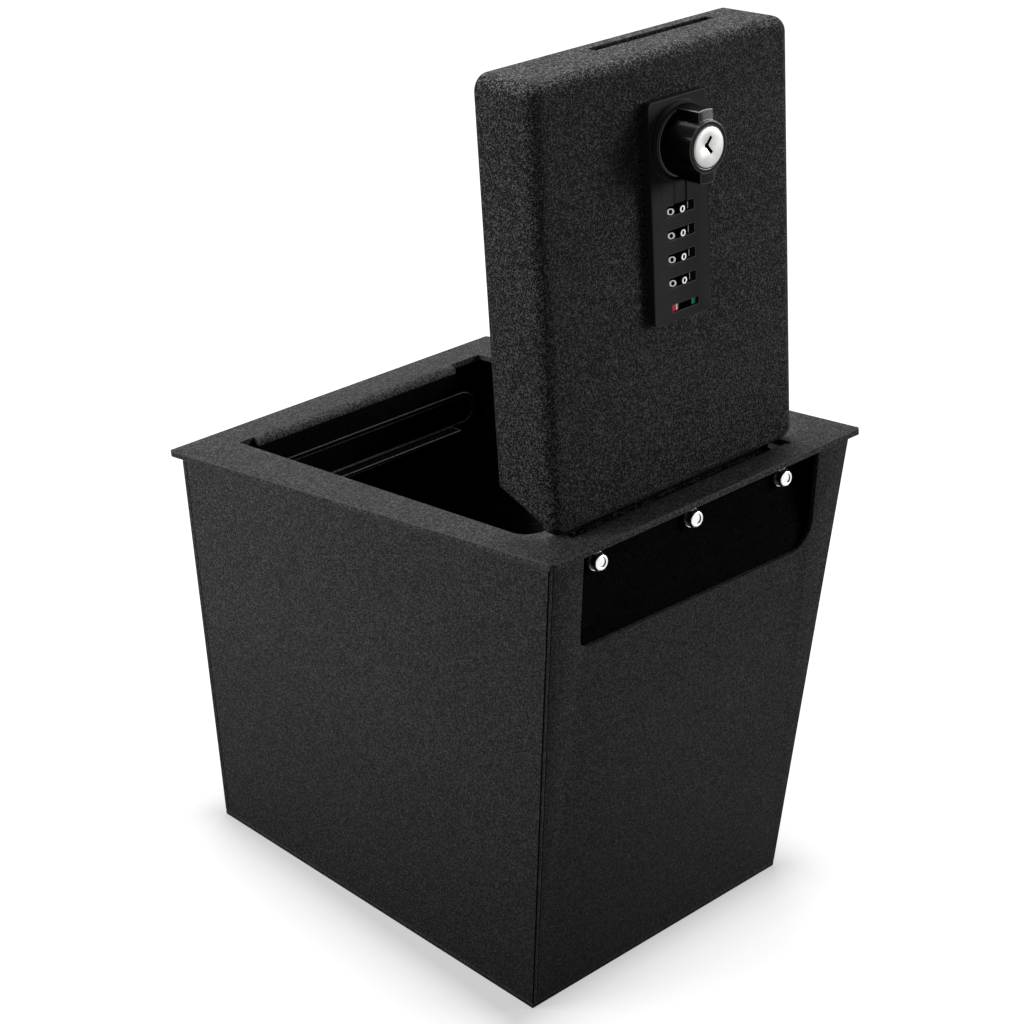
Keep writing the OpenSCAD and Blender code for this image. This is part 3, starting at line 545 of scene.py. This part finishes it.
# %% [markdown]
# ## Faces with a finish of their own
# Some faces of a piece are painted darker than the rest. The far wall's inner side and the
# rim's lips inside the box, the nuts' bodies in the shade of the rim, the keyway, the knob's
# waist and upward faces and the groove under the knob take painted shade, and the left
# wall's corner bevels are painted dark along the welded seams. A face is told by where its
# centre lies and which way it looks.

# %% Faces that take another finish by their place
def repaint(piece, finish, belongs):
    piece.data.materials.append(finish)
    index = len(piece.data.materials) - 1
    faces = [face for face in piece.data.polygons if belongs(face.center, face.normal)]
    for face in faces:
        face.material_index = index
    return len(faces)


# %% The box's seams, inner side and lips
# The far wall's inner side and the rim's lips take the near-black inner coat as painted shade
# inside the box; the left wall's corner bevels take it as a dark line.
rim_top = max(eased["rim_plate"].data.polygons, key=lambda face: face.area * face.normal.z)
LIP_START = 7 * MM


def on_lip(centre, outward):
    return (rim_top.center - centre).dot(rim_top.normal) > LIP_START


def on_inner_side(centre, outward):
    return outward.y < -0.5


def in_seam(centre, outward):
    return abs(outward.x) > 0.2 and abs(outward.y) > 0.2


in_the_shade = coats["coat_inner"]
print("seam faces:", repaint(eased["left_wall"], in_the_shade, in_seam))
print("inner faces:", repaint(eased["far_wall"], in_the_shade, on_inner_side))
print("lip faces:", repaint(eased["rim_plate"], in_the_shade, on_lip))

# %% The nuts' bodies, painted dark as shade under the rim
NUT_COLLAR = 1.2 * MM
nut_end = min(vertex.co.y for vertex in eased["hinge_nuts"].data.vertices)


def on_nut_body(centre, outward):
    return centre.y > nut_end + NUT_COLLAR


nut_body_shade = dark_finishes["hinge_steel"]
print("nut body faces:", repaint(eased["hinge_nuts"], nut_body_shade, on_nut_body))

# %% Painted shade in the keyway, on the knob's waist and on its upward faces
knob_middle = Vector(joints["knob_turn"]["pos_m"])
FACE_DEPTH = 0.01 * MM
KEYWAY_REACH = 5.6 * MM
WAIST_DEPTH = 14.4 * MM
WAIST_REACH = 15.6 * MM


def front_of(piece):
    return max((vertex.co - knob_middle).dot(lid_out) for vertex in piece.data.vertices)


def from_axis(centre):
    aside = centre - knob_middle
    return (aside - lid_out * aside.dot(lid_out)).length


plug_front = front_of(eased["key_plug"])
knob_front = front_of(eased["knob"])


# The keyway's walls and floor are painted dark: painted shade in the recess.
def in_keyway(centre, outward):
    depth = plug_front - (centre - knob_middle).dot(lid_out)
    near = from_axis(centre) < KEYWAY_REACH
    return depth > FACE_DEPTH and near and outward.dot(lid_out) > -0.5


# The knob's back part and its upward faces are painted dark: painted shade, which also paints
# out their reflection of the bright surround.
def at_waist(centre, outward):
    depth = knob_front - (centre - knob_middle).dot(lid_out)
    low = depth > WAIST_DEPTH and from_axis(centre) < WAIST_REACH
    return low or outward.dot(lid_up) > 0.97


painted_shade_black = dark_finishes["housing_black"]
print("keyway faces:", repaint(eased["key_plug"], painted_shade_black, in_keyway))
print("knob waist faces:", repaint(eased["knob"], painted_shade_black, at_waist))

# %% The groove's floor, with a painted shadow at its left side
GROOVE_SLACK = 0.1 * MM
GROOVE_ENDS = (-30 * MM, -16 * MM)


def on_groove_floor(centre, outward):
    aside = centre - knob_middle
    low, high = GROOVE_ENDS
    inside = abs(aside.x) < GROOVE_HALF + GROOVE_SLACK and low < aside.dot(lid_up) < high
    return inside and outward.dot(lid_out) > 0.9


print("groove faces:", repaint(eased["lock_plate"], groove_painted_shadow, on_groove_floor))

# %% [markdown]
# ## Dial figures
# Each dial has ten fields, one tenth of a turn apart, and a white figure is printed on
# each. A text object gives the figure's outline. It is turned so that it faces straight
# out of the dial, and the ten figures of a dial are joined into one printed ring. The
# figures on both sides of the first nought are printed a few degrees closer to it, as the
# windows show them.

# %% Print one dial
DIAL_RADIUS = 12.5 * MM
FIELD_TURN = 36
FIRST_FIELD = 7.4
FIGURE_DROP = 1.1 * MM
PRINT_SHIFT = {9: 3.6, 1: -6}
FIGURE_SIZE = 4.45 * MM
FIGURE_WIDENING = 1.78
PRINT_SPREAD = 0.03 * MM
PRINT_HEIGHT = 0.15 * MM
figures = "0123456780"


def printed_figure(dial, place, letter):
    centre = Vector(joints[dial + "_turn"]["pos_m"])
    angle = math.radians(FIRST_FIELD + FIELD_TURN * place + PRINT_SHIFT.get(place, 0))
    radial = lid_across * math.sin(angle) + lid_out * math.cos(angle)
    tangent = lid_across * math.cos(angle) - lid_out * math.sin(angle)
    bpy.ops.object.text_add()
    text = bpy.context.object
    text.data.body = letter
    text.data.align_x = "CENTER"
    text.data.align_y = "CENTER"
    text.data.size = FIGURE_SIZE
    text.data.offset = PRINT_SPREAD
    text.data.extrude = PRINT_HEIGHT
    turn = Matrix((tangent * FIGURE_WIDENING, lid_up, radial)).transposed().to_4x4()
    spot = centre + radial * DIAL_RADIUS - lid_up * FIGURE_DROP
    text.matrix_world = Matrix.Translation(spot) @ turn
    select_only(text)
    bpy.ops.object.convert(target="MESH")
    return bpy.context.object


def printed_ring(dial):
    texts = [printed_figure(dial, place, letter) for place, letter in enumerate(figures)]
    bpy.ops.object.select_all(action="DESELECT")
    for text in texts:
        text.select_set(True)
    bpy.context.view_layer.objects.active = texts[0]
    bpy.ops.object.transform_apply(location=True, rotation=True, scale=True)
    bpy.ops.object.join()
    ring = bpy.context.object
    ring.name = dial + "_figures"
    ring.data.materials.clear()
    ring.data.materials.append(figure_white)
    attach(ring, dial + "_set")
    return ring


for number in range(1, 5):
    ring = printed_ring("dial_" + str(number))
    print(ring.name, len(ring.data.polygons), "faces")

# %% [markdown]
# ## Floor and white surround
# The safe stands on a white sweep. To the camera, and in reflections, the floor and the
# surround add a little light of their own, so they come out white while the light on the
# safe stays at its plain level. The floor still takes the safe's soft shadow, and close to
# the safe's base its own light is dimmed by a painted contact shadow.

# %% The painted contact shadow: how far a place of the floor is from the safe's base
SHADE_REACH = 60 * MM
SHADE_STOPS = ((0, 0.54), (0.12, 0.66), (0.25, 0.77), (0.42, 0.86), (0.67, 0.94), (1, 1))


def openness(finish):
    low, high = box_of(frame["nodes"]["floor_plate"])
    squares = []
    for axis, letter in enumerate("XY"):
        middle = (low[axis] + high[axis]) / 2
        half = (high[axis] - low[axis]) / 2
        aside = finish.add("Math", {"operation": "ABSOLUTE"}, {0: finish.along(letter) - middle})
        beyond = finish.add("Math", {"operation": "MAXIMUM"}, {0: aside - half, 1: 0.0})
        squares.append(beyond * beyond)
    away = finish.add("Math", {"operation": "SQRT"}, {0: squares[0] + squares[1]})
    return finish.ramp(away * (1 / SHADE_REACH), *SHADE_STOPS)


# %% The floor
FLOOR_SIZE = 40


def glow_where_seen(finish, strength):
    ray = finish.add("LightPath", output="Is Camera Ray")
    glossy = finish.add("LightPath", output="Is Glossy Ray")
    clear = finish.add("LightPath", output="Is Transmission Ray")
    seen = finish.add("Math", {"operation": "MAXIMUM"}, {0: ray, 1: glossy})
    return finish.add("Math", {"operation": "MAXIMUM"}, {0: seen, 1: clear}) * strength


bpy.ops.mesh.primitive_plane_add(size=FLOOR_SIZE, location=(0, 0, 0))
floor = bpy.context.object
floor.name = "floor"
floor_finish = Finish("white_floor")
floor_finish.set(
    Base_Color=(0.12, 0.12, 0.12, 1),
    Roughness=0.9,
    Specular_IOR_Level=0.0,
    Emission_Color=openness(floor_finish),
    Emission_Strength=glow_where_seen(floor_finish, 0.95),
)
floor.data.materials.append(floor_finish.material)
print("floor of", FLOOR_SIZE, "m with a contact shade", SHADE_REACH / MM, "mm wide")

# %% The surround
PLAIN_LEVEL = 0.08
world = bpy.data.worlds.new("surround")
bpy.context.scene.world = world
world.use_nodes = True
surround = Finish("surround_sums", world.node_tree)
backdrop = world.node_tree.nodes["Background"]
strength = glow_where_seen(surround, 1 - PLAIN_LEVEL) + PLAIN_LEVEL
surround.plug(backdrop.inputs["Strength"], strength)
backdrop.inputs["Color"].default_value = (1, 1, 1, 1)
print("surround is white where seen")

# %% [markdown]
# ## Lamps
# Three soft boxes: one over the safe for the rim, one at the left for the left side, and
# one at the right that rakes the near side and the lid's face, so the lock throws its
# shadow to the left.

# %% Soft boxes
AIM = Vector((0, 0, 0.3))


def soft_box(name, place, size, power):
    data = bpy.data.lights.new(name, "AREA")
    data.shape = "RECTANGLE"
    data.size, data.size_y = size, size
    data.energy = power
    lamp = bpy.data.objects.new(name, data)
    lamp.location = place
    lamp.rotation_euler = (AIM - Vector(place)).to_track_quat("-Z", "Y").to_euler()
    bpy.context.scene.collection.objects.link(lamp)
    print(name, power, "W at", place)


soft_box("top_box", (0.6, 0.85, 1.9), 1.2, 52)
soft_box("left_box", (-1.25, 0.72, 1.0), 0.7, 38)
soft_box("right_box", (1.5, -1.25, 0.78), 0.8, 38)

# %% [markdown]
# ## Camera
# The view that the safe is shown from: from the near left, looking down at about 28
# degrees, with a long lens.

# %% The camera
LENS = 83.992
LOOK_DOWN = 0.481624
LOOK_ASIDE = 0.741578
camera_data = bpy.data.cameras.new("camera")
camera_data.lens = LENS
camera_data.sensor_width = 36
camera = bpy.data.objects.new("camera", camera_data)
camera.location = (-0.770207, -0.845908, 0.799624)
camera.rotation_euler = (math.pi / 2 - LOOK_DOWN, 0, -LOOK_ASIDE)
bpy.context.scene.collection.objects.link(camera)
bpy.context.scene.camera = camera
bpy.context.scene.view_settings.view_transform = "Standard"
print("camera looks down", round(math.degrees(LOOK_DOWN), 1), "degrees")
